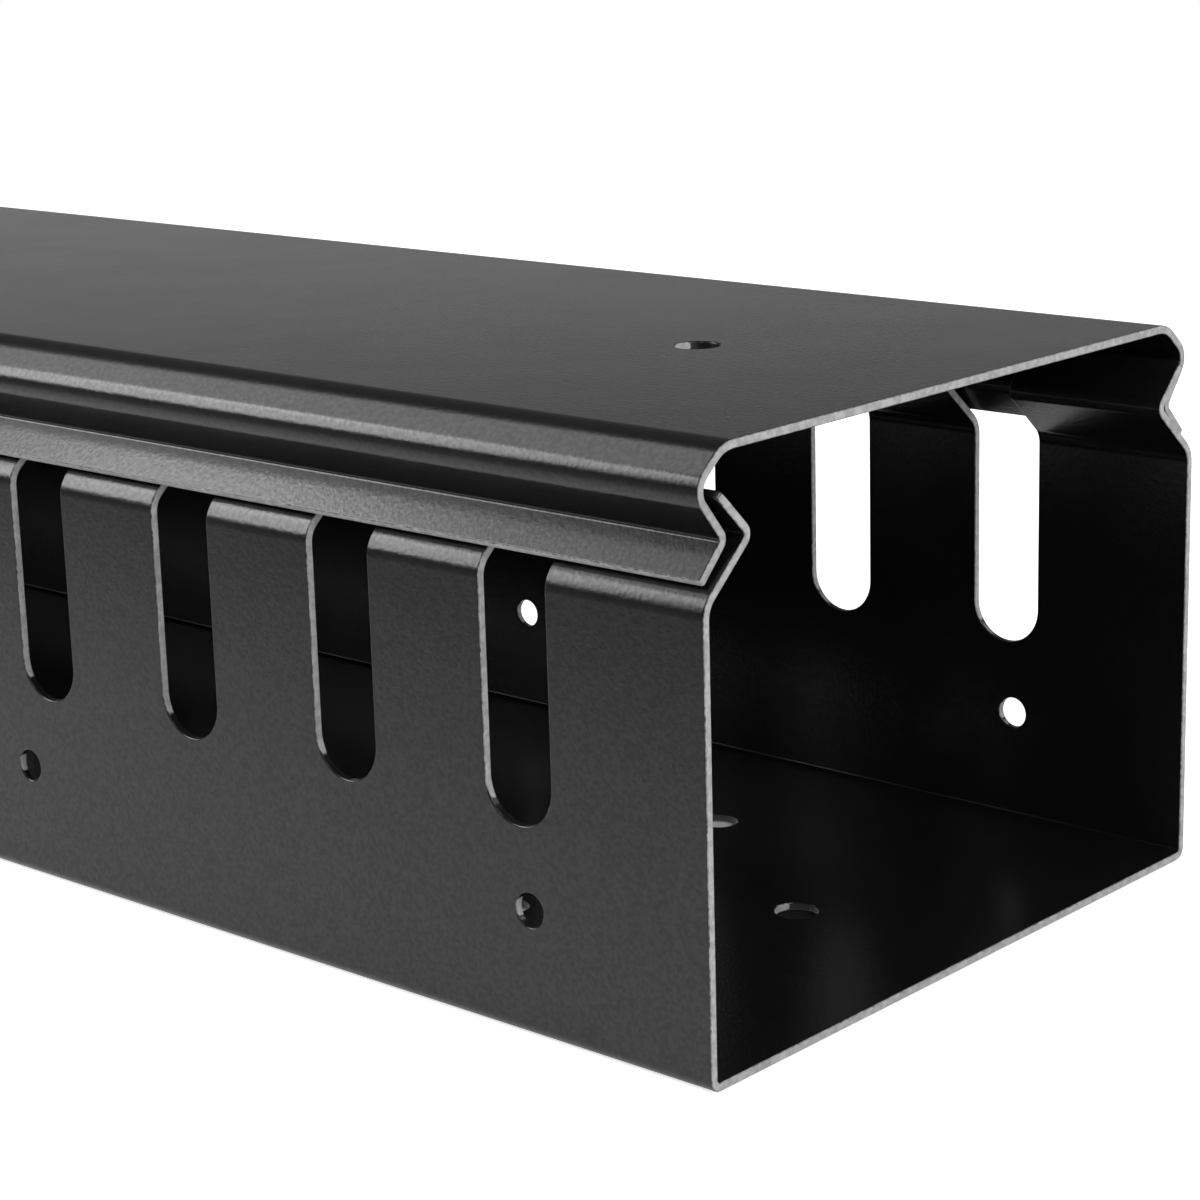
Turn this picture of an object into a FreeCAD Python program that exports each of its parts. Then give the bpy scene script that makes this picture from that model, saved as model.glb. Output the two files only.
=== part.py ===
"""Vertical cable manager for a server rack: a steel finger duct with a snap-fit steel cover.

The object lies on its back, with its open side and the cover up. X runs along the length, Y across
the width and Z up from the back. The origin is at the middle of the back's outer face.
All sizes are in millimetres.
"""
import FreeCAD
import Part
import math
import os

# Sheet with its coat, and the radius inside its bends: widest at the cover's top, soft at the
# shoulders and the cover's bulges, and tight in the hooks, in the groove and at the back's sides.
sheet = 1.7
top_bend = 6.4
soft_bend = 3.5
bulge_bend = 2.8
hook_bend = 1.2
tight_bend = 0.8

# Slots between the fingers. The pitch is one rack unit, and the length suits a rack of 22 units.
slot_pitch = 44.45
slot_count = 21
slot_width = 16.0
slot_floor_height = 40.4
end_margin = 44.05

# Duct: clear width between the walls, and each wall's bends, measured up its outer face.
inner_width = 152.4
shoulder_height = 87.7
groove_rise = 10.2
groove_depth = 11.6
tip_rise = 7.6
tip_inset = 4.0

# Holes in the duct, with their distances from each end.
side_hole_diameter = 6.6
side_hole_height = 24.6
side_hole_inset = 42.2
side_hole_spacing = 143.8
back_hole_diameter = 8.9
back_hole_inset = 42.2
back_pair_inset = 90.3
back_pair_spacing = 67.2

# Cover: how it stands over the finger tips, and how its flanges hook into the groove.
cover_headroom = 7.1
cover_setback = 1.6
hook_clearance = 2.4
hook_drop = 0.4
bulge_offset = 2.3
bulge_rise = 1.4
top_corner_inset = 8.3
lip_rise = 2.75
lip_clearance = 0.8
cover_hole_diameter = 8.9
cover_hole_inset = 63.8

# Worked out from the sizes above.
duct_length = (slot_count - 1) * slot_pitch + 2 * end_margin
duct_width = inner_width + 2 * sheet
groove_height = shoulder_height + groove_rise
tip_height = groove_height + tip_rise
cover_underside = tip_height + cover_headroom
cover_length = duct_length - 2 * cover_setback


def offset_line_corners(path, distance):
    """Corners of the line that runs beside a path, at a distance to its left."""
    sides = []
    for start, end in zip(path, path[1:]):
        along = (end - start).normalize()
        sides.append((start + FreeCAD.Vector(0, -along.z, along.y) * distance, along))
    corners = [sides[0][0]]
    for (point, along), (next_point, next_along) in zip(sides, sides[1:]):
        cross = along.y * next_along.z - along.z * next_along.y
        gap = next_point - point
        reach = (gap.y * next_along.z - gap.z * next_along.y) / cross
        corners.append(point + along * reach)
    last_point, last_along = sides[-1]
    corners.append(last_point + last_along * (path[-1] - path[-2]).Length)
    return corners


def rounded_edges(corners, radii):
    """Edges along the corners, with an arc of its own radius at each corner between the ends."""
    edges = []
    start = corners[0]
    for before, corner, after, radius in zip(corners, corners[1:], corners[2:], radii):
        arriving = (corner - before).normalize()
        leaving = (after - corner).normalize()
        turn = arriving.getAngle(leaving)
        tangent = radius * math.tan(turn / 2)
        arc_start = corner - arriving * tangent
        arc_end = corner + leaving * tangent
        inward = (leaving - arriving).normalize()
        arc_middle = corner + inward * (radius / math.cos(turn / 2) - radius)
        edges.append(Part.makeLine(start, arc_start))
        edges.append(Part.Arc(arc_start, arc_middle, arc_end).toShape())
        start = arc_end
    edges.append(Part.makeLine(start, corners[-1]))
    return edges


def turns_left(before, corner, after):
    """Whether a path turns to its left at a corner."""
    arriving = corner - before
    leaving = after - corner
    return arriving.y * leaving.z > arriving.z * leaving.y


def bent_sheet(path, bends, length):
    """A folded sheet. The path is one face's profile, and the sheet lies to the left of it.

    Each bend's radius is the one on the inside of its turn, whichever face that is.
    """
    near_radii = []
    far_radii = []
    for before, corner, after, inside in zip(path, path[1:], path[2:], bends):
        sheet_is_inside = turns_left(before, corner, after)
        near_radii.append(inside + sheet if sheet_is_inside else inside)
        far_radii.append(inside if sheet_is_inside else inside + sheet)
    near_face = rounded_edges(path, near_radii)
    far_corners = offset_line_corners(path, sheet)
    far_face = rounded_edges(far_corners, far_radii)
    ends = [Part.makeLine(path[0], far_corners[0]), Part.makeLine(path[-1], far_corners[-1])]
    outline = Part.Wire(Part.__sortEdges__(near_face + far_face + ends))
    solid = Part.Face(outline).extrude(FreeCAD.Vector(length, 0, 0))
    solid.translate(FreeCAD.Vector(-length / 2, 0, 0))
    return solid


def mirrored_path(half):
    """A profile from its -Y half: points given as (inset from the duct's side, height)."""
    left = [FreeCAD.Vector(0, inset - duct_width / 2, height) for inset, height in half]
    right = [FreeCAD.Vector(0, -point.y, point.z) for point in reversed(left)]
    return left + right


def slot_cutter(x):
    """The space of one pair of facing slots: round at the bottom, open at the top."""
    radius = slot_width / 2
    centre_height = slot_floor_height + radius
    upper_left = FreeCAD.Vector(x - radius, 0, cover_underside)
    lower_left = FreeCAD.Vector(x - radius, 0, centre_height)
    bottom = FreeCAD.Vector(x, 0, slot_floor_height)
    lower_right = FreeCAD.Vector(x + radius, 0, centre_height)
    upper_right = FreeCAD.Vector(x + radius, 0, cover_underside)
    outline = Part.Wire([
        Part.makeLine(upper_left, lower_left),
        Part.Arc(lower_left, bottom, lower_right).toShape(),
        Part.makeLine(lower_right, upper_right),
        Part.makeLine(upper_right, upper_left),
    ])
    outline.translate(FreeCAD.Vector(0, -duct_width, 0))
    return Part.Face(outline).extrude(FreeCAD.Vector(0, 2 * duct_width, 0))


def side_hole_cutter(x):
    """The space of two facing holes, one in each wall."""
    base = FreeCAD.Vector(x, -duct_width, side_hole_height)
    return Part.makeCylinder(side_hole_diameter / 2, 2 * duct_width, base, FreeCAD.Vector(0, 1, 0))


def upright_hole_cutter(x, y, height, diameter):
    """The space of one hole through a level sheet whose underside is at a height."""
    base = FreeCAD.Vector(x, y, height - sheet)
    return Part.makeCylinder(diameter / 2, 3 * sheet, base)


def both_ends(inset):
    """The two places along the length that lie at one distance from each end of the duct."""
    return [duct_length / 2 - inset, inset - duct_length / 2]


def duct_channel():
    """The back and the two walls, bent from one sheet, with their slots and holes."""
    half = [
        (tip_inset, tip_height),
        (groove_depth, groove_height),
        (0, shoulder_height),
        (0, 0),
    ]
    half_bends = [tight_bend, soft_bend, tight_bend]
    channel = bent_sheet(mirrored_path(half), half_bends + half_bends[::-1], duct_length)
    cutters = [slot_cutter((index - (slot_count - 1) / 2) * slot_pitch) for index in range(slot_count)]
    for inset in (side_hole_inset, side_hole_inset + side_hole_spacing):
        cutters += [side_hole_cutter(x) for x in both_ends(inset)]
    for x in both_ends(back_hole_inset):
        cutters.append(upright_hole_cutter(x, 0, 0, back_hole_diameter))
    for x in both_ends(back_pair_inset):
        for side in (-1, 1):
            cutters.append(upright_hole_cutter(x, side * back_pair_spacing / 2, 0, back_hole_diameter))
    return channel.cut(cutters)


def snap_cover():
    """The flat top and its two hooked flanges, bent from one sheet, with a hole near each end.

    The profile follows the face that looks at the fingers. The lip stands just off the slope
    above the wall's shoulder, and the hook reaches into the groove.
    """
    slope = groove_depth / groove_rise
    half = [
        (lip_rise * slope - lip_clearance, shoulder_height + lip_rise),
        (groove_depth - hook_clearance, groove_height - hook_drop),
        (tip_inset - bulge_offset, tip_height + bulge_rise),
        (top_corner_inset, cover_underside),
    ]
    half_bends = [hook_bend, bulge_bend, top_bend]
    cover = bent_sheet(mirrored_path(half), half_bends + half_bends[::-1], cover_length)
    holes = [
        upright_hole_cutter(x, 0, cover_underside, cover_hole_diameter)
        for x in both_ends(cover_setback + cover_hole_inset)
    ]
    return cover.cut(holes)


def main():
    """Write each piece to its own file."""
    os.makedirs("parts", exist_ok=True)
    pieces = {"duct_channel": duct_channel(), "snap_cover": snap_cover()}
    for name, shape in pieces.items():
        solid = shape.Solids[0]
        solid.exportStep(f"parts/{name}.step")
        box = solid.BoundBox
        print(name, len(shape.Solids), solid.isValid(), round(solid.Volume, 1),
              [round(v, 2) for v in (box.XMin, box.YMin, box.ZMin, box.XMax, box.YMax, box.ZMax)])


main()
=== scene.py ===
"""Vertical cable manager: a slotted steel duct and its snap cover, dressed for a studio picture.

Both pieces are folded from flat blanks of coated sheet, as the real ones are. A blank is drawn flat,
with its slots, holes and rounded corners, gets two faces and a rounded rim, and is then wrapped round
the bends of its section. Sizes are in millimetres until a mesh is written, which is in metres. Those
of the studio and the camera's place are in metres.
"""
import logging
import math
from bisect import bisect_right
from dataclasses import dataclass, field
from enum import Enum
from typing import NamedTuple

import bpy
from mathutils import Matrix, Vector
from mathutils.geometry import delaunay_2d_cdt


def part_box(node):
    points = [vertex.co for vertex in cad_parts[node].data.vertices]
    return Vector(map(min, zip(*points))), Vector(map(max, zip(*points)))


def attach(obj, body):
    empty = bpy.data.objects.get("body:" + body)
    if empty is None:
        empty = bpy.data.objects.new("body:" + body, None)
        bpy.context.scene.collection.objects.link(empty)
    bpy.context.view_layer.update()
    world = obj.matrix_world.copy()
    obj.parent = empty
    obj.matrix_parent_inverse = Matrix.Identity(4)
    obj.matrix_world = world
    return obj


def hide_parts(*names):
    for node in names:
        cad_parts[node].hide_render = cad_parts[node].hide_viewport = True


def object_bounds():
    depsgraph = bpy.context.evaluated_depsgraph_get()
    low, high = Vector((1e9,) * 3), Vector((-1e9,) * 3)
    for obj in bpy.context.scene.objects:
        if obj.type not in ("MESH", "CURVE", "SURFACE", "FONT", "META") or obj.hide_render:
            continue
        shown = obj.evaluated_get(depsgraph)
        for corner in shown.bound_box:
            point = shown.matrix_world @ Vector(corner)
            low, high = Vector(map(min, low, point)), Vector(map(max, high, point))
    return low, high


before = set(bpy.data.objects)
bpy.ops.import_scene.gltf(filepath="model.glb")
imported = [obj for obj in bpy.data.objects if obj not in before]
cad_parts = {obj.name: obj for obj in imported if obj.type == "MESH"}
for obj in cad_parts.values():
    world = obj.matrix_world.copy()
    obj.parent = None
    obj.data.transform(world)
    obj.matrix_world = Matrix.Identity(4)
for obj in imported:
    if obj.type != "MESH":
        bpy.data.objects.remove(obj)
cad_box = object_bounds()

log = logging.getLogger("cable_manager")

MM = 0.001

# Facets of a quarter turn in a hole or a slot's floor, and in a small corner.
HOLE_FACETS = 14
CORNER_FACETS = 5

# Lengths in millimetres that count as none: of a straight run, from a row to a cut's end, from a point
# to its row, and between two points.
NO_RUN = 1e-7
NO_STRIP = 1e-4
NO_OFFSET = 1e-5
NO_GAP = 1e-6

# A direction with this share of an axis counts as lying along it.
WHOLLY = 0.99

Socket = bpy.types.NodeSocket
Grey = Socket | float


class Side(Enum):
    """The long sides of the object. The value is the sign of Y there."""

    NEAR = -1
    FAR = 1


class Finish(Enum):
    """The two finishes that a folded sheet shows. The value is the mesh's material slot."""

    COAT = 0
    RIM = 1


# Rounded paths.


@dataclass(frozen=True)
class Span:
    """A straight or curved stretch of a path in a plane."""

    start: float
    length: float
    origin: Vector
    heading: float
    turn: float = 0.0
    steps: int = 1

    def at(self, distance: float) -> tuple[Vector, float]:
        """Finds a place on the stretch.

        Args:
            distance: How far along the whole path the place is.

        Returns:
            The point, and the heading there in radians.
        """
        travelled = distance - self.start
        if not self.turn:
            ahead = Vector((math.cos(self.heading), math.sin(self.heading)))
            return self.origin + ahead * travelled, self.heading
        radius = self.length / self.turn
        heading = self.heading + travelled / radius
        across = math.sin(heading) - math.sin(self.heading)
        upward = math.cos(self.heading) - math.cos(heading)
        return self.origin + Vector((across, upward)) * radius, heading


class Corner(NamedTuple):
    """A corner of a path, with the radius that rounds it and the facets of its arc."""

    u: float
    v: float
    radius: float = 0.0
    steps: int = 1


class RoundedPath:
    """Straight runs joined by arcs, either open or closed into a loop."""

    def __init__(self, corners: list[Corner], closed: bool) -> None:
        """Works out the runs and the arcs.

        Args:
            corners: The corners in the order of travel.
            closed: Whether the last corner joins the first.
        """
        self.runs: list[Span] = []
        self.spans: list[Span] = []
        count = len(corners)
        places = [Vector((corner.u, corner.v)) for corner in corners]
        sides = count if closed else count - 1
        along = [places[(i + 1) % count] - places[i] for i in range(sides)]
        headings = [math.atan2(side.y, side.x) for side in along]
        turns, cuts = [0.0] * count, [0.0] * count
        for i in range(count) if closed else range(1, count - 1):
            turns[i] = math.remainder(headings[i % sides] - headings[i - 1], math.tau)
            cuts[i] = corners[i].radius * math.tan(abs(turns[i]) / 2)
        distance = 0.0
        for i in range(sides):
            after = (i + 1) % count
            ahead = along[i].normalized()
            length = along[i].length - cuts[i] - cuts[after]
            run = Span(distance, max(length, 0.0), places[i] + ahead * cuts[i], headings[i])
            self.runs.append(run)
            if length > NO_RUN:
                self.spans.append(run)
                distance += length
            if turns[after]:
                corner = corners[after]
                arc = corner.radius * abs(turns[after])
                origin = places[after] - ahead * cuts[after]
                self.spans.append(Span(distance, arc, origin, headings[i], turns[after], corner.steps))
                distance += arc
        self.length = distance
        self._starts = [span.start for span in self.spans]

    def at(self, distance: float) -> tuple[Vector, float]:
        """Finds the point and the heading at a distance along the path."""
        return self.spans[max(bisect_right(self._starts, distance) - 1, 0)].at(distance)


# Folded sheet.


@dataclass(frozen=True)
class SheetStock:
    """The coated steel sheet of both pieces, the radii inside its bends, and how its cut edges are eased.

    The margin is the strip beside each cut edge that has its own row of points. The facets of a bend are
    those of a right angle, and no bend has fewer than the least. Those of an edge round one border.
    """

    thickness: float = 1.7
    top_bend: float = 6.4
    soft_bend: float = 4.4
    bulge_bend: float = 2.8
    hook_bend: float = 0.7
    tight_bend: float = 0.8
    edge_radius: float = 0.36
    margin: float = 0.44
    bend_facets: int = 12
    least_facets: int = 6
    edge_facets: int = 3


class SectionPoint(NamedTuple):
    """A corner of half a section: inset from the duct's side, height, and radius inside its bend."""

    inset: float
    height: float
    bend: float = 0.0


class Section:
    """The bent section of a sheet, drawn along one of its faces from the near side to the far side."""

    def __init__(self, half: list[SectionPoint], width: float, stock: SheetStock) -> None:
        """Mirrors a half section and rounds its bends.

        Args:
            half: The corners from the near free edge to the middle.
            width: The duct's width, from which the insets are measured.
            stock: The sheet. It lies to the left of the face that the corners follow.
        """
        near = [(point.inset - width / 2, point.height, point.bend) for point in half]
        bends = near + [(-y, z, bend) for y, z, bend in reversed(near)]
        corners = []
        for i, (y, z, bend) in enumerate(bends):
            radius, steps = 0.0, 1
            if 0 < i < len(bends) - 1:
                (y0, z0, _), (y1, z1, _) = bends[i - 1], bends[i + 1]
                left = (y - y0) * (z1 - z) > (z - z0) * (y1 - y)
                radius = bend + (stock.thickness if left else 0.0)
                turn = math.remainder(math.atan2(z1 - z, y1 - y) - math.atan2(z - z0, y - y0), math.tau)
                steps = max(stock.least_facets, round(stock.bend_facets * abs(turn) / (math.pi / 2)))
            corners.append(Corner(y, z, radius, steps))
        self.path = RoundedPath(corners, closed=False)
        self.length = self.path.length

    def bend_lines(self) -> list[float]:
        """Lists the rows of points that cross the sheet at its bends.

        Returns:
            The distance of each along the section.
        """
        rows = set()
        for span in self.path.spans:
            if span.turn:
                facets = range(span.steps + 1)
                rows.update(round(span.start + span.length * i / span.steps, 9) for i in facets)
        return sorted(rows)

    def on_run(self, index: int, height: float | None = None, y: float | None = None) -> float:
        """Finds a place on a flat part of the section.

        Args:
            index: Which flat part, counted from the near free edge.
            height: The place's height, on an upright part.
            y: The place's Y, on a level part.

        Returns:
            Its distance along the section.
        """
        run = self.path.runs[index]
        if height is not None:
            return run.start + (height - run.origin.y) / math.sin(run.heading)
        return run.start + (y - run.origin.x) / math.cos(run.heading)

    def fold(self, x: float, along: float, depth: float) -> Vector:
        """Carries a point of the flat blank to its folded place."""
        point, heading = self.path.at(along)
        return Vector((x, point.x - math.sin(heading) * depth, point.y + math.cos(heading) * depth))

    def fold_direction(self, along: float, direction: tuple[float, float, float]) -> Vector:
        """Carries a direction of the flat blank to its folded one.

        Args:
            along: The distance along the section.
            direction: The direction's shares of the length, of the section's line and of the depth.

        Returns:
            The folded direction.
        """
        x, ahead, deep = direction
        heading = self.path.at(along)[1]
        sine, cosine = math.sin(heading), math.cos(heading)
        return Vector((x, cosine * ahead - sine * deep, sine * ahead + cosine * deep)).normalized()


class RimPoint(NamedTuple):
    """A point of a cut line in the flat blank, and the direction that leaves the sheet there."""

    x: float
    along: float
    out_x: float
    out_along: float
    bare_and_highlight: float


@dataclass(frozen=True)
class RoundHole:
    """A punched hole: its place in the flat blank and its radius."""

    x: float
    along: float
    radius: float

    def corners(self) -> list[Corner]:
        """Draws the hole as a square whose corners are rounded until they meet.

        Returns:
            The corners, clockwise.
        """
        r = self.radius
        signs = ((-1, -1), (-1, 1), (1, 1), (1, -1))
        return [Corner(self.x + r * i, self.along + r * j, r, HOLE_FACETS) for i, j in signs]


@dataclass
class FlatBlank:
    """A flat sheet before it is bent: its outline, and the holes in it.

    Where coated_reach is zero, the outline's whole rim is painted pale. Where it is above zero, the rim is
    pale only where it faces an end, in the slots too, and passes from a share for the tips at the long
    edges to wholly pale at that distance from them. A hole's rim is pale where it faces an end. The eased
    borders of a rim are as pale as it times a share for the borders. The pale grey is partly steel where
    the coat is thin and partly a painted highlight, standing in for light that the rims catch.
    """

    outline: list[Corner]
    holes: list[RoundHole]
    coated_reach: float = 0.0
    border_pale_share: float = 0.42
    tip_pale_share: float = 0.42

    # A rim starts to face an end at the first share of X in its direction, and does wholly a blend on.
    END_FACING, END_BLEND = 0.8, 0.12

    def cut_lines(self, bend_lines: list[float]) -> list[list[RimPoint]]:
        """Draws every cut line as points.

        Args:
            bend_lines: Rows that each straight cut across a bend gets a point on.

        Returns:
            One closed list of points for the outline and one for each hole, with the sheet to the left.
        """
        width = max(corner.v for corner in self.outline)
        rows = bend_lines + [self.coated_reach, width - self.coated_reach]
        loops = [self._points(RoundedPath(self.outline, closed=True), rows, self.coated_reach)]
        loops += [self._points(RoundedPath(hole.corners(), closed=True), [], math.inf) for hole in self.holes]
        return loops

    def _points(self, path: RoundedPath, rows: list[float], reach: float) -> list[RimPoint]:
        """Places the points of one cut line.

        Args:
            path: The cut line.
            rows: Distances along the section where a straight cut gets a point.
            reach: How far from the long edges a rim that faces an end is wholly pale, steel and painted
            highlight. With zero, all of the cut line's rim is.

        Returns:
            The points in the order of travel.
        """
        width = max(corner.v for corner in self.outline)
        points = []
        for span in path.spans:
            stops = [span.start + span.length * i / span.steps for i in range(span.steps)]
            if not span.turn and abs(math.sin(span.heading)) > WHOLLY:
                climb = math.sin(span.heading)
                crossings = [span.start + (row - span.origin.y) / climb for row in rows]
                inside = (span.start + NO_STRIP, span.start + span.length - NO_STRIP)
                stops += sorted(stop for stop in crossings if inside[0] < stop < inside[1])
            for stop in stops:
                place, heading = span.at(stop)
                out_x, out_along = math.sin(heading), -math.cos(heading)
                bare_and_highlight = 1.0
                if reach:
                    # Facing an end makes a rim pale: steel, and a painted highlight of light along the
                    # length.
                    facing_end = min(max((abs(out_x) - self.END_FACING) / self.END_BLEND, 0.0), 1.0)
                    from_edge = min(place.y, width - place.y)
                    inward = 1.0 if reach == math.inf else min(from_edge / reach, 1.0)
                    bare_and_highlight = facing_end * (self.tip_pale_share + (1.0 - self.tip_pale_share) * inward)
                points.append(RimPoint(place.x, place.y, out_x, out_along, bare_and_highlight))
        return points


class SheetMesh:
    """Builds the solid mesh of one folded sheet, with the true normal at every point."""

    # Strips of a rim beside each face that are coat: the margin, and the first facet of the border.
    COATED_STRIPS = 2

    # The kind of filling that gives triangles as far as the hull, each with the regions it lies in.
    FILL_HULL = 0

    def __init__(self, section: Section, blank: FlatBlank, stock: SheetStock) -> None:
        """Builds the rim and both faces.

        Args:
            section: The bends.
            blank: The flat sheet.
            stock: The sheet's thickness and how its edges are eased.
        """
        self.section, self.blank, self.stock = section, blank, stock
        self.points: list[Vector] = []
        self.normals: list[Vector] = []
        self.bare_and_highlight: list[float] = []
        self.faces: list[tuple[int, ...]] = []
        self.finishes: list[Finish] = []
        rows = section.bend_lines()
        loops = blank.cut_lines(rows)
        rings = [self._add_rim(loop) for loop in loops]
        self._add_faces(loops, rings, rows)

    def _add_point(
        self, x: float, along: float, depth: float, normal: tuple[float, float, float], bare_and_highlight: float
    ) -> int:
        """Adds one point, given in the flat blank.

        Args:
            x: Its place along the length.
            along: Its distance along the section.
            depth: Its distance from the first face.
            normal: The surface's direction there, in the flat blank.
            bare_and_highlight: How pale the rim is painted there, from 0 to 1: steel and painted highlight.

        Returns:
            The point's number.
        """
        self.points.append(self.section.fold(x, along, depth) * MM)
        self.normals.append(self.section.fold_direction(along, normal))
        self.bare_and_highlight.append(bare_and_highlight)
        return len(self.points) - 1

    def _rim_layers(self) -> list[tuple[float, float, float, float]]:
        """Draws the section of a rim from the first face round to the second.

        Returns:
            Each layer's inset and depth, and the outward and the depth share of its direction.
        """
        ease, thickness = self.stock.edge_radius, self.stock.thickness
        angles = [math.pi / 2 * i / self.stock.edge_facets for i in range(self.stock.edge_facets + 1)]
        turns = [(math.sin(angle), math.cos(angle)) for angle in angles]
        lower = [(ease * (1 - sine), ease * (1 - cosine), sine, -cosine) for sine, cosine in turns]
        lower.insert(0, (self.stock.margin, 0.0, 0.0, -1.0))
        upper = [(inset, thickness - depth, out, -deep) for inset, depth, out, deep in reversed(lower)]
        return lower + upper

    def _add_rim(self, loop: list[RimPoint]) -> tuple[list[int], list[int]]:
        """Adds the strip of faces round one cut line.

        Args:
            loop: The cut line's points.

        Returns:
            The numbers of its innermost points on the first face, and those on the second.
        """
        layers = []
        for inset, depth, out, deep in self._rim_layers():
            layer = []
            for p in loop:
                normal = (p.out_x * out, p.out_along * out, deep)
                # Painted highlight and steel grey are full on the rim's flat and weaker on its eased borders.
                bare_and_highlight = p.bare_and_highlight * (1.0 if out > WHOLLY else self.blank.border_pale_share)
                x, along = p.x - p.out_x * inset, p.along - p.out_along * inset
                layer.append(self._add_point(x, along, depth, normal, bare_and_highlight))
            layers.append(layer)
        steel_strips = range(self.COATED_STRIPS, len(layers) - 1 - self.COATED_STRIPS)
        for level, (lower, upper) in enumerate(zip(layers, layers[1:])):
            finish = Finish.RIM if level in steel_strips else Finish.COAT
            for i in range(len(loop)):
                j = (i + 1) % len(loop)
                self.faces.append((lower[i], lower[j], upper[j], upper[i]))
                self.finishes.append(finish)
        return layers[0], layers[-1]

    def _add_faces(
        self, loops: list[list[RimPoint]], rings: list[tuple[list[int], list[int]]], rows: list[float]
    ) -> None:
        """Fills both faces of the sheet between the cut lines.

        Args:
            loops: The cut lines.
            rings: The point numbers that _add_rim gave for each.
            rows: The bend lines, which the filling keeps as edges.
        """
        margin = self.stock.margin
        flat, edges, regions, lower, upper = [], [], [], [], []
        for loop, (first, second) in zip(loops, rings):
            base = len(flat)
            flat += [Vector((p.x - p.out_x * margin, p.along - p.out_along * margin)) for p in loop]
            ring = list(range(base, len(flat)))
            regions.append(ring[::-1] if regions else ring)
            lower += first
            upper += second
        at_ends = [i for i, p in enumerate(loops[0]) if abs(p.out_x) > WHOLLY]
        for row in rows:
            crossing = [i for i in at_ends if abs(loops[0][i].along - row) < NO_OFFSET]
            crossing.sort(key=lambda i: flat[i].x)
            edges += list(zip(crossing[::2], crossing[1::2]))
        filling = delaunay_2d_cdt(flat, edges, regions, self.FILL_HULL, NO_GAP)
        places, _, triangles, sources, _, owners = filling
        first, second = [], []
        for place, source in zip(places, sources):
            known = [i for i in source if i < len(lower)]
            if known:
                first.append(lower[known[0]])
                second.append(upper[known[0]])
            else:
                first.append(self._add_point(place.x, place.y, 0.0, (0, 0, -1), 0.0))
                second.append(self._add_point(place.x, place.y, self.stock.thickness, (0, 0, 1), 0.0))
        for (a, b, c), owner in zip(triangles, owners):
            # Only what lies in the outline, which is region 0, and in no hole is sheet.
            if list(owner) != [0]:
                continue
            if (places[b] - places[a]).cross(places[c] - places[a]) < 0:
                b, c = c, b
            self.faces += [(first[a], first[c], first[b]), (second[a], second[b], second[c])]
            self.finishes += [Finish.COAT, Finish.COAT]

    def to_object(self, name: str, materials: list[bpy.types.Material]) -> bpy.types.Object:
        """Writes the mesh as an object.

        Args:
            name: The object's name.
            materials: The materials of the slots that Finish numbers.

        Returns:
            The new object, linked to the scene.
        """
        mesh = bpy.data.meshes.new(name)
        mesh.from_pydata(self.points, [], self.faces)
        for material in materials:
            mesh.materials.append(material)
        mesh.polygons.foreach_set("material_index", [finish.value for finish in self.finishes])
        mesh.polygons.foreach_set("use_smooth", [True] * len(self.faces))
        # This attribute holds how pale each point is painted: steel and painted highlight.
        bare_and_highlight = mesh.attributes.new("bare_and_highlight", "FLOAT", "POINT")
        bare_and_highlight.data.foreach_set("value", self.bare_and_highlight)
        mesh.update()
        mesh.normals_split_custom_set_from_vertices(self.normals)
        piece = bpy.data.objects.new(name, mesh)
        bpy.context.scene.collection.objects.link(piece)
        return piece


# Finishes.


def combine(tree: bpy.types.NodeTree, operation: str, first: Grey, second: Grey) -> Socket:
    """Combines two values with a Math node, whose result is kept from 0 to 1.

    Args:
        tree: The node tree.
        operation: What the node does.
        first: A number or another node's value.
        second: A number or another node's value.

    Returns:
        The result.
    """
    node = tree.nodes.new("ShaderNodeMath")
    node.operation = operation
    node.use_clamp = True
    for socket, value in zip(node.inputs, (first, second)):
        if isinstance(value, float):
            socket.default_value = value
        else:
            tree.links.new(value, socket)
    return node.outputs[0]


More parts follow.
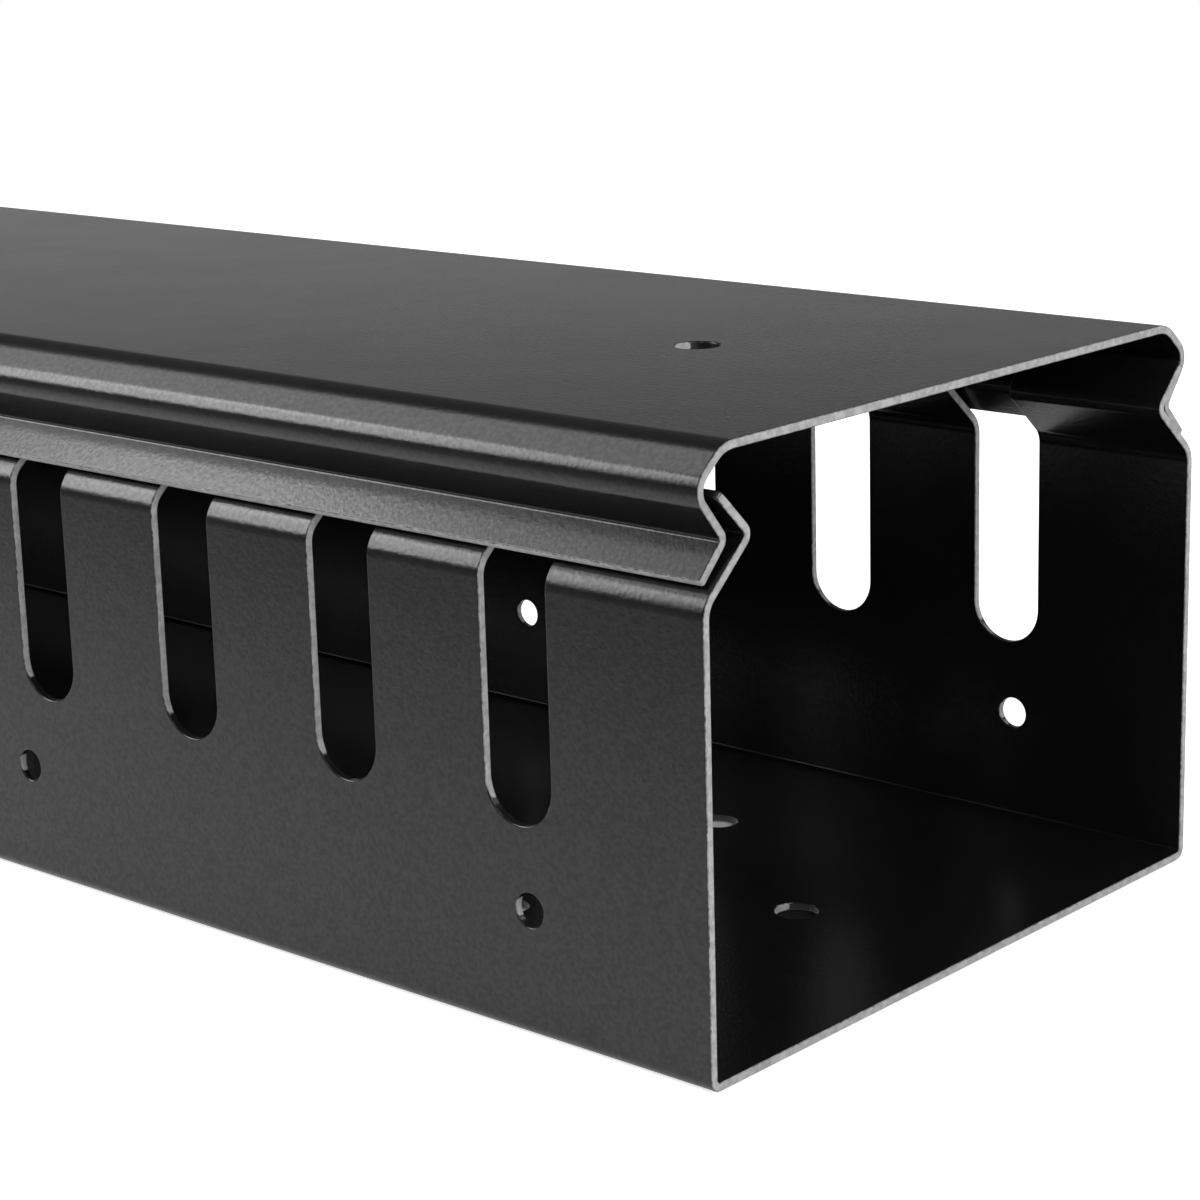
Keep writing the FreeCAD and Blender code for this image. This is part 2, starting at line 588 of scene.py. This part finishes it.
class Shading:
    """A small helper that adds and joins the nodes of one material."""

    def __init__(self, name: str) -> None:
        """Starts an empty material with a shader and an output."""
        self.material = bpy.data.materials.new(name)
        self.material.use_nodes = True
        self.tree = self.material.node_tree
        self.tree.nodes.clear()
        self.shader = self.node("ShaderNodeBsdfPrincipled")
        self.surface = self.node("ShaderNodeOutputMaterial").inputs["Surface"]
        self.link(self.shader.outputs["BSDF"], self.surface)
        self.place = self.node("ShaderNodeTexCoord").outputs["Object"]

    def node(self, kind: str, **settings: object) -> bpy.types.Node:
        """Adds a node.

        Args:
            kind: The node's type.
            settings: Its properties.

        Returns:
            The node.
        """
        node = self.tree.nodes.new(kind)
        for key, value in settings.items():
            setattr(node, key, value)
        return node

    def link(self, source: Socket, target: Socket) -> None:
        """Joins two sockets."""
        self.tree.links.new(source, target)

    def noise(self, grain_mm: float, detail: float = 2.0, roughness: float = 0.5) -> Socket:
        """Adds a noise whose blotches are about as wide as a given size.

        Args:
            grain_mm: The width of a blotch in millimetres.
            detail: How many finer layers it has.
            roughness: How strong those are.

        Returns:
            The noise's value, from 0 to 1.
        """
        noise = self.node("ShaderNodeTexNoise")
        noise.inputs["Scale"].default_value = 1 / (grain_mm * MM)
        noise.inputs["Detail"].default_value = detail
        noise.inputs["Roughness"].default_value = roughness
        self.link(self.place, noise.inputs["Vector"])
        return noise.outputs["Fac"]

    def spread(self, value: Socket, limits: tuple[float, float], to: tuple[float, float]) -> Socket:
        """Maps a value between two limits, with soft ends, to another range.

        Args:
            value: The value.
            limits: The values that give the new range's start and its end.
            to: The new range.

        Returns:
            The mapped value.
        """
        ramp = self.node("ShaderNodeMapRange", interpolation_type="SMOOTHSTEP")
        for socket, number in zip(ramp.inputs[1:5], (*limits, *to)):
            socket.default_value = number
        self.link(value, ramp.inputs["Value"])
        return ramp.outputs["Result"]

    def blend(self, share: Socket, first: Grey, second: Grey) -> Socket:
        """Mixes two greys, each a number or another node's colour.

        Args:
            share: How much of the second there is.
            first: The first grey.
            second: The second grey.

        Returns:
            The mixed colour.
        """
        mix = self.node("ShaderNodeMix", data_type="RGBA")
        self.link(share, mix.inputs["Factor"])
        # Its colour sockets share their names with others, so they are taken by number.
        for socket, grey in zip((mix.inputs[6], mix.inputs[7]), (first, second)):
            if isinstance(grey, float):
                socket.default_value = (grey, grey, grey, 1.0)
            else:
                self.link(grey, socket)
        return mix.outputs[2]

    def math(self, operation: str, first: Grey, second: Grey) -> Socket:
        """Combines two values of this material."""
        return combine(self.tree, operation, first, second)

    def bump(self, layers: list[tuple[Socket, float]]) -> None:
        """Raises the surface by several height layers.

        Args:
            layers: Each layer's value, and the height in millimetres that a value of 1 stands for.
        """
        normal = None
        for value, height in layers:
            node = self.node("ShaderNodeBump")
            node.inputs["Strength"].default_value = 1.0
            node.inputs["Distance"].default_value = height * MM
            self.link(value, node.inputs["Height"])
            if normal:
                self.link(normal, node.inputs["Normal"])
            normal = node.outputs["Normal"]
        self.link(normal, self.shader.inputs["Normal"])


@dataclass(frozen=True)
class PowderCoat:
    """Satin black powder coat: a fine pebbled skin, slightly uneven in tone and roughness.

    Broad clouds and fine specks lead from the tone to the pale tone, each by its share. The roughness
    follows the clouds, and the sheen the pebbles, both between the limits. Widths and heights are in
    millimetres.
    """

    name: str = "powder_coat"
    tone: float = 0.004
    pale_tone: float = 0.009
    roughness_range: tuple[float, float] = (0.208, 0.222)
    sheen_range: tuple[float, float] = (0.42, 0.58)
    limits: tuple[float, float] = (0.3, 0.7)
    pebble_width: float = 0.9
    pebble_height: float = 0.035
    ripple_width: float = 7.0
    ripple_height: float = 0.003
    cloud_width: float = 28.0
    cloud_share: float = 0.6
    speck_width: float = 1.3
    speck_share: float = 0.4
    speck_limits: tuple[float, float] = (0.35, 0.75)

    def build(self) -> bpy.types.Material:
        """Makes the material.

        Returns:
            The material.
        """
        shading = Shading(self.name)
        pebbles = shading.noise(self.pebble_width, detail=2.0, roughness=0.55)
        clouds = shading.noise(self.cloud_width, detail=3.0, roughness=0.6)
        specks = shading.noise(self.speck_width, detail=1.0)
        cloudy = shading.math("MULTIPLY", clouds, self.cloud_share)
        speckled = shading.spread(specks, self.speck_limits, (0.0, self.speck_share))
        tone = shading.math("ADD", cloudy, speckled)
        shading.link(shading.blend(tone, self.tone, self.pale_tone), shading.shader.inputs["Base Color"])
        roughness = shading.spread(clouds, self.limits, self.roughness_range)
        shading.link(roughness, shading.shader.inputs["Roughness"])
        sheen = shading.spread(pebbles, self.limits, self.sheen_range)
        shading.link(sheen, shading.shader.inputs["Specular IOR Level"])
        ripples = shading.noise(self.ripple_width, detail=1.0, roughness=0.4)
        shading.bump([(ripples, self.ripple_height), (pebbles, self.pebble_height)])
        return shading.material


@dataclass(frozen=True)
class CutRim:
    """The rim of the cut sheet, a mottled pale grey: steel where the coat is thin, and painted highlight.

    The grey goes from dull to pale with the mottle, and stands in partly for light that the rims catch.
    It shows where the mesh's attribute of pale rims, with a ragged noise on it, is past the mask's
    limits. Widths and heights are in millimetres.
    """

    name: str = "cut_rim"
    # The pale and dull greys are steel, and also painted highlight.
    pale: float = 0.53
    dull: float = 0.365
    coated: float = 0.012
    roughness: float = 0.55
    coat_roughness: float = 0.22
    mottle_width: float = 1.6
    mottle_limits: tuple[float, float] = (0.35, 0.65)
    ragged_width: float = 0.9
    ragged_share: float = 0.5
    worn_and_highlight_limits: tuple[float, float] = (0.5, 0.85)
    grit_width: float = 0.35
    grit_height: float = 0.02

    def build(self) -> bpy.types.Material:
        """Makes the material.

        Returns:
            The material.
        """
        shading = Shading(self.name)
        mottle = shading.noise(self.mottle_width, detail=3.0, roughness=0.65)
        # Painted highlight: the steel grey also stands for light that the rims catch.
        steel = shading.blend(shading.spread(mottle, self.mottle_limits, (0.0, 1.0)), self.dull, self.pale)
        bare_and_highlight = shading.node("ShaderNodeAttribute", attribute_name="bare_and_highlight").outputs["Fac"]
        ragged = shading.math("MULTIPLY", shading.noise(self.ragged_width), self.ragged_share)
        worn_and_highlight = shading.spread(shading.math("ADD", ragged, bare_and_highlight), self.worn_and_highlight_limits, (0.0, 1.0))
        shading.link(shading.blend(worn_and_highlight, self.coated, steel), shading.shader.inputs["Base Color"])
        roughness = shading.blend(worn_and_highlight, self.coat_roughness, self.roughness)
        shading.link(roughness, shading.shader.inputs["Roughness"])
        shading.bump([(shading.noise(self.grit_width), self.grit_height)])
        return shading.material


# Pieces.


@dataclass
class SheetPiece:
    """A piece bent from one sheet. The length and width come from the duct in the frame."""

    finishes: list[bpy.types.Material]
    stock: SheetStock = field(default_factory=SheetStock)
    shoulder_height: float = 87.7
    groove_height: float = 97.9
    groove_depth: float = 11.6
    tip_height: float = 105.5
    tip_inset: float = 4.0

    def __post_init__(self) -> None:
        """Measures the duct in the frame."""
        low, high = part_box("duct_channel")
        self.duct_length = (high.x - low.x) / MM
        self.duct_width = (high.y - low.y) / MM

    def both_ends(self, inset: float) -> tuple[float, float]:
        """Gives the two places along the length at one distance from each end of the duct."""
        return self.duct_length / 2 - inset, inset - self.duct_length / 2

    def finish_piece(self, mesh: SheetMesh, name: str, node: str, body: str, slot: str) -> bpy.types.Object:
        """Writes a mesh and puts it in the place of its node.

        Args:
            mesh: The folded sheet.
            name: The new object's name.
            node: The CAD node that it stands for.
            body: The body that it rides on.
            slot: The record's material slot. It is not used.

        Returns:
            The object.
        """
        piece = mesh.to_object(name, self.finishes)
        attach(piece, body)
        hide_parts(node)
        return piece


@dataclass
class DuctChannel(SheetPiece):
    """The back and the two walls, whose fingers end in a groove that holds the cover."""

    slot_pitch: float = 44.45
    slot_count: int = 21
    slot_width: float = 16.0
    slot_floor_height: float = 40.4
    side_hole_radius: float = 3.3
    side_hole_height: float = 24.6
    side_hole_insets: tuple[float, float] = (42.2, 186.0)
    back_hole_radius: float = 4.45
    back_hole_inset: float = 42.2
    back_pair_inset: float = 90.3
    back_pair_offset: float = 33.6
    corner_radius: float = 1.1
    coated_reach: float = 2.6

    # Flat parts of the section, counted from the near free edge.
    NEAR_WALL, BACK, FAR_WALL = 2, 3, 4

    def section(self) -> Section:
        """Draws the section along the outer face.

        Returns:
            The section.
        """
        half = [
            SectionPoint(self.tip_inset, self.tip_height),
            SectionPoint(self.groove_depth, self.groove_height, self.stock.tight_bend),
            SectionPoint(0.0, self.shoulder_height, self.stock.soft_bend),
            SectionPoint(0.0, 0.0, self.stock.tight_bend),
        ]
        return Section(half, self.duct_width, self.stock)

    def finger_edge(self, floor: float, tip: float) -> list[Corner]:
        """Draws the free edge of one wall from one end to the other, in and out of each slot.

        Args:
            floor: Distance of the slots' floors along the section.
            tip: Distance of the finger tips along the section.

        Returns:
            The corners, in the order of rising X.
        """
        half = self.slot_width / 2
        ease = self.corner_radius
        corners = []
        for i in range(self.slot_count):
            x = (i - (self.slot_count - 1) / 2) * self.slot_pitch
            corners += [
                Corner(x - half, tip, ease, CORNER_FACETS),
                Corner(x - half, floor, half, HOLE_FACETS),
                Corner(x + half, floor, half, HOLE_FACETS),
                Corner(x + half, tip, ease, CORNER_FACETS),
            ]
        return corners

    def blank(self, section: Section) -> FlatBlank:
        """Draws the flat sheet with its slots and holes.

        Args:
            section: The section that the blank is folded to.

        Returns:
            The blank.
        """
        ease, end = self.corner_radius, self.duct_length / 2
        near = self.finger_edge(section.on_run(self.NEAR_WALL, height=self.slot_floor_height), 0.0)
        far = self.finger_edge(section.on_run(self.FAR_WALL, height=self.slot_floor_height), section.length)
        outline = [
            Corner(-end, 0.0, ease, CORNER_FACETS),
            *near,
            Corner(end, 0.0, ease, CORNER_FACETS),
            Corner(end, section.length, ease, CORNER_FACETS),
            *reversed(far),
            Corner(-end, section.length, ease, CORNER_FACETS),
        ]
        holes = []
        for wall in (self.NEAR_WALL, self.FAR_WALL):
            along = section.on_run(wall, height=self.side_hole_height)
            for inset in self.side_hole_insets:
                holes += [RoundHole(x, along, self.side_hole_radius) for x in self.both_ends(inset)]
        middle, radius = section.on_run(self.BACK, y=0.0), self.back_hole_radius
        holes += [RoundHole(x, middle, radius) for x in self.both_ends(self.back_hole_inset)]
        for side in Side:
            along = middle + side.value * self.back_pair_offset
            holes += [RoundHole(x, along, radius) for x in self.both_ends(self.back_pair_inset)]
        return FlatBlank(outline, holes, self.coated_reach)

    def build(self) -> bpy.types.Object:
        """Builds the duct and puts it in its node's place.

        Returns:
            The object.
        """
        section = self.section()
        mesh = SheetMesh(section, self.blank(section), self.stock)
        return self.finish_piece(mesh, "finger_duct", "duct_channel", "duct", "duct_coat")


@dataclass
class SnapCover(SheetPiece):
    """The flat top, whose two flanges hook into the groove of the fingers."""

    headroom: float = 7.1
    setback: float = 1.6
    hook_clearance: float = 2.4
    hook_drop: float = 0.4
    bulge_offset: float = 2.3
    bulge_rise: float = 1.4
    top_corner_inset: float = 8.3
    lip_rise: float = 2.75
    lip_clearance: float = 0.8
    hole_radius: float = 4.45
    hole_inset: float = 65.4
    corner_radius: float = 0.5

    # The flat part of the section at the top, counted from the near free edge.
    TOP = 3

    def section(self) -> Section:
        """Draws the section along the face that looks at the fingers.

        Returns:
            The section.
        """
        stock = self.stock
        slope = self.groove_depth / (self.groove_height - self.shoulder_height)
        lip = (self.lip_rise * slope - self.lip_clearance, self.shoulder_height + self.lip_rise)
        hook = (self.groove_depth - self.hook_clearance, self.groove_height - self.hook_drop)
        bulge = (self.tip_inset - self.bulge_offset, self.tip_height + self.bulge_rise)
        top = (self.top_corner_inset, self.tip_height + self.headroom)
        half = [
            SectionPoint(*lip),
            SectionPoint(*hook, stock.hook_bend),
            SectionPoint(*bulge, stock.bulge_bend),
            SectionPoint(*top, stock.top_bend),
        ]
        return Section(half, self.duct_width, stock)

    def blank(self, section: Section) -> FlatBlank:
        """Draws the flat sheet with its holes.

        Args:
            section: The section that the blank is folded to.

        Returns:
            The blank.
        """
        ease, end = self.corner_radius, self.duct_length / 2 - self.setback
        places = ((-end, 0.0), (end, 0.0), (end, section.length), (-end, section.length))
        outline = [Corner(x, along, ease, CORNER_FACETS) for x, along in places]
        middle = section.on_run(self.TOP, y=0.0)
        holes = [RoundHole(x, middle, self.hole_radius) for x in self.both_ends(self.hole_inset)]
        return FlatBlank(outline, holes)

    def build(self) -> bpy.types.Object:
        """Builds the cover and puts it in its node's place.

        Returns:
            The object.
        """
        section = self.section()
        mesh = SheetMesh(section, self.blank(section), self.stock)
        return self.finish_piece(mesh, "hooked_cover", "snap_cover", "cover", "cover_coat")


# Studio.


@dataclass(frozen=True)
class Softbox:
    """A soft rectangular lamp that shines at a point of the object, in metres.

    The brightness is what its surface sends out: 1 is as bright as a white sheet in plain light.
    """

    name: str
    direction: tuple[float, float, float]
    distance: float
    size: tuple[float, float]
    brightness: float
    target: tuple[float, float, float] = (0.32, 0.0, 0.06)

    def build(self) -> None:
        """Hangs the lamp."""
        lamp = bpy.data.lights.new(self.name, "AREA")
        lamp.shape = "RECTANGLE"
        lamp.size, lamp.size_y = self.size
        lamp.energy = self.brightness * math.pi * self.size[0] * self.size[1]
        holder = bpy.data.objects.new(self.name, lamp)
        bpy.context.scene.collection.objects.link(holder)
        away = Vector(self.direction).normalized()
        holder.location = Vector(self.target) + away * self.distance
        holder.rotation_mode = "QUATERNION"
        holder.rotation_quaternion = away.to_track_quat("Z", "Y")
        holder.visible_camera = False


@dataclass
class Studio:
    """A white room with soft lamps, and a pale floor that keeps the object's shadow, in metres.

    Ambient is the light on matt surfaces, and reflected is how white the room is in reflections. The
    floor has two tones, mottled, and a painted shadow of tone floor_shadow beneath the object's ends:
    from shadow_edge inside its sides, and as far from an end as shadow_reach. The camera sees it lifted
    by floor_lift, and wholly white past the distances of fade. In reflections it glows by floor_glow,
    and is only as bright as far_floor past the distances of glow_fade to each side.
    """

    softboxes: tuple[Softbox, ...] = (
        Softbox("lamp_over_near_side", (0.236, -0.604, 0.763), 1.5, (0.45, 0.45), 3.2),
        Softbox("lamp_left_front", (-0.699, -0.536, 0.474), 1.6, (0.83, 0.90), 5.8),
        Softbox("lamp_left_high", (-0.624, -0.203, 0.755), 1.6, (0.68, 0.80), 2.15),
        Softbox("lamp_at_open_end", (0.80, -0.12, 0.59), 0.75, (0.5, 0.4), 4.6, (0.488, 0.02, 0.11)),
        Softbox("lamp_far_side", (0.30, 0.75, 0.59), 1.7, (1.1, 0.6), 2.2),
        Softbox("card_behind", (-0.66, 0.73, 0.10), 1.8, (2.6, 0.42), 0.36),
    )
    ambient: float = 0.30
    reflected: float = 0.10
    floor_tones: tuple[float, float] = (0.8, 0.82)
    floor_mottle_mm: float = 260.0
    floor_roughness: float = 0.9
    floor_sheen: float = 0.2
    floor_shadow: float = 0.01
    floor_lift: float = 0.75
    floor_glow: float = 0.325
    far_floor: float = 0.30
    floor_size: float = 12.0
    floor_gap: float = 0.0002
    shadow_edge: tuple[float, float] = (0.004, 0.002)
    shadow_reach: tuple[float, float] = (0.075, 0.06)
    fade: tuple[float, float] = (0.7, 1.5)
    glow_fade: tuple[float, float] = (0.08, 0.44)

    def seen_white(self, tree: bpy.types.NodeTree, in_reflections: float) -> Socket:
        """Tells how white the background is for a ray: fully for the camera's, less in reflections.

        Args:
            tree: The node tree.
            in_reflections: How white it is in reflections.

        Returns:
            The whiteness, from 0 to 1.
        """
        path = tree.nodes.new("ShaderNodeLightPath")
        share = path.outputs["Is Camera Ray"]
        for other, whiteness in (("Is Glossy Ray", in_reflections), ("Is Transmission Ray", 1.0)):
            share = combine(tree, "MAXIMUM", share, combine(tree, "MULTIPLY", path.outputs[other], whiteness))
        return share

    def light_room(self) -> None:
        """Makes the world: plain ambient light, and white where it is seen."""
        world = bpy.data.worlds.new("white_room")
        world.use_nodes = True
        bpy.context.scene.world = world
        tree = world.node_tree
        path = tree.nodes.new("ShaderNodeLightPath")
        plain = combine(tree, "MULTIPLY", path.outputs["Is Diffuse Ray"], self.ambient)
        strength = combine(tree, "MAXIMUM", plain, self.seen_white(tree, self.reflected))
        background = tree.nodes["Background"]
        background.inputs["Color"].default_value = (1.0, 1.0, 1.0, 1.0)
        tree.links.new(strength, background.inputs["Strength"])

    def floor_material(self) -> bpy.types.Material:
        """Makes the floor's matt white.

        The camera sees it lifted to the background's white. In reflections it is bright beside the
        object and fades to the dim room away from it. Beneath the object's ends it is a painted shadow.

        Returns:
            The material.
        """
        shading = Shading("pale_floor")
        shading.shader.inputs["Roughness"].default_value = self.floor_roughness
        shading.shader.inputs["Specular IOR Level"].default_value = self.floor_sheen
        shading.shader.inputs["Emission Color"].default_value = (1.0, 1.0, 1.0, 1.0)
        across = shading.node("ShaderNodeSeparateXYZ")
        shading.link(shading.place, across.inputs[0])
        ahead = shading.math("ABSOLUTE", across.outputs["X"], 0.0)
        aside = shading.math("ABSOLUTE", across.outputs["Y"], 0.0)
        half_length, half_width = cad_box[1].x, cad_box[1].y
        inner, outer = self.shadow_edge
        beneath = shading.math(
            "MULTIPLY",
            shading.spread(ahead, (half_length - inner, half_length - outer), (1.0, 0.0)),
            shading.spread(aside, (half_width - inner, half_width - outer), (1.0, 0.0)),
        )
        # Painted shadow: the floor's colour is made dark beneath the object's ends.
        start, full = (half_length - reach for reach in self.shadow_reach)
        under_ends = shading.math("MULTIPLY", beneath, shading.spread(ahead, (start, full), (0.0, 1.0)))
        tone = shading.blend(shading.noise(self.floor_mottle_mm), *self.floor_tones)
        shading.link(shading.blend(under_ends, tone, self.floor_shadow), shading.shader.inputs["Base Color"])
        seen = self.seen_white(shading.tree, 0.0)
        mirrored = shading.node("ShaderNodeLightPath").outputs["Is Glossy Ray"]
        open_floor = shading.math("SUBTRACT", 1.0, beneath)
        lift = shading.math("MULTIPLY", shading.math("MULTIPLY", seen, open_floor), self.floor_lift)
        glow = shading.math("MULTIPLY", mirrored, self.floor_glow)
        shading.link(shading.math("MAXIMUM", lift, glow), shading.shader.inputs["Emission Strength"])
        from_middle = shading.node("ShaderNodeVectorMath", operation="LENGTH")
        shading.link(shading.place, from_middle.inputs[0])
        far = shading.spread(from_middle.outputs["Value"], self.fade, (0.0, 1.0))
        plain = shading.math("MULTIPLY", far, seen)
        dim = shading.math("MULTIPLY", shading.spread(aside, self.glow_fade, (0.0, 1.0)), mirrored)
        white = shading.node("ShaderNodeEmission")
        shading.link(self.seen_white(shading.tree, self.far_floor), white.inputs["Strength"])
        mix = shading.node("ShaderNodeMixShader")
        shading.link(shading.math("MAXIMUM", plain, dim), mix.inputs["Fac"])
        shading.link(shading.shader.outputs["BSDF"], mix.inputs[1])
        shading.link(white.outputs["Emission"], mix.inputs[2])
        shading.link(mix.outputs["Shader"], shading.surface)
        return shading.material

    def lay_floor(self) -> None:
        """Lays the floor under the object."""
        half, level = self.floor_size / 2, cad_box[0].z - self.floor_gap
        mesh = bpy.data.meshes.new("studio_floor")
        corners = ((-half, -half), (half, -half), (half, half), (-half, half))
        mesh.from_pydata([(x, y, level) for x, y in corners], [], [(0, 1, 2, 3)])
        mesh.materials.append(self.floor_material())
        floor = bpy.data.objects.new("studio_floor", mesh)
        bpy.context.scene.collection.objects.link(floor)

    def build(self) -> None:
        """Sets up the room, the floor and the lamps."""
        self.light_room()
        self.lay_floor()
        for softbox in self.softboxes:
            softbox.build()


@dataclass(frozen=True)
class PhotoCamera:
    """The camera of the reference picture: where it stood, in metres, and what it was aimed at.

    The roll is how far its right side is turned up from level, in degrees. The lens and the sensor's
    width are in millimetres.
    """

    place: tuple[float, float, float] = (0.80180, -0.45189, 0.21605)
    aim: tuple[float, float, float] = (0.46555, -0.0779, 0.0855)
    roll: float = -1.585
    lens: float = 90.97
    sensor: float = 36.0
    clip: tuple[float, float] = (0.01, 50.0)

    def build(self) -> None:
        """Places the camera and makes it the scene's."""
        data = bpy.data.cameras.new("photo_camera")
        data.lens, data.sensor_width = self.lens, self.sensor
        data.clip_start, data.clip_end = self.clip
        camera = bpy.data.objects.new("photo_camera", data)
        bpy.context.scene.collection.objects.link(camera)
        ahead = (Vector(self.aim) - Vector(self.place)).normalized()
        level = ahead.cross(Vector((0, 0, 1))).normalized()
        upright = level.cross(ahead)
        turn = math.radians(self.roll)
        right = level * math.cos(turn) + upright * math.sin(turn)
        above = right.cross(ahead)
        axes = Matrix((right, above, -ahead)).transposed()
        camera.matrix_world = Matrix.Translation(self.place) @ axes.to_4x4()
        bpy.context.scene.camera = camera


def report(piece: bpy.types.Object, body: str) -> None:
    """Logs one finished piece.

    Args:
        piece: The object.
        body: The body that it rides on.
    """
    size = " x ".join(f"{value / MM:.1f}" for value in piece.dimensions)
    log.info("%s: %d faces, %s mm, on body %s", piece.name, len(piece.data.polygons), size, body)


def main() -> None:
    """Builds the duct, its cover and the studio."""
    logging.basicConfig(level=logging.INFO, format="%(message)s")
    bpy.context.scene.view_settings.view_transform = "Standard"
    finishes = [PowderCoat().build(), CutRim().build()]
    report(DuctChannel(finishes).build(), "duct")
    report(SnapCover(finishes).build(), "cover")
    Studio().build()
    PhotoCamera().build()


if __name__ == "__main__":
    main()
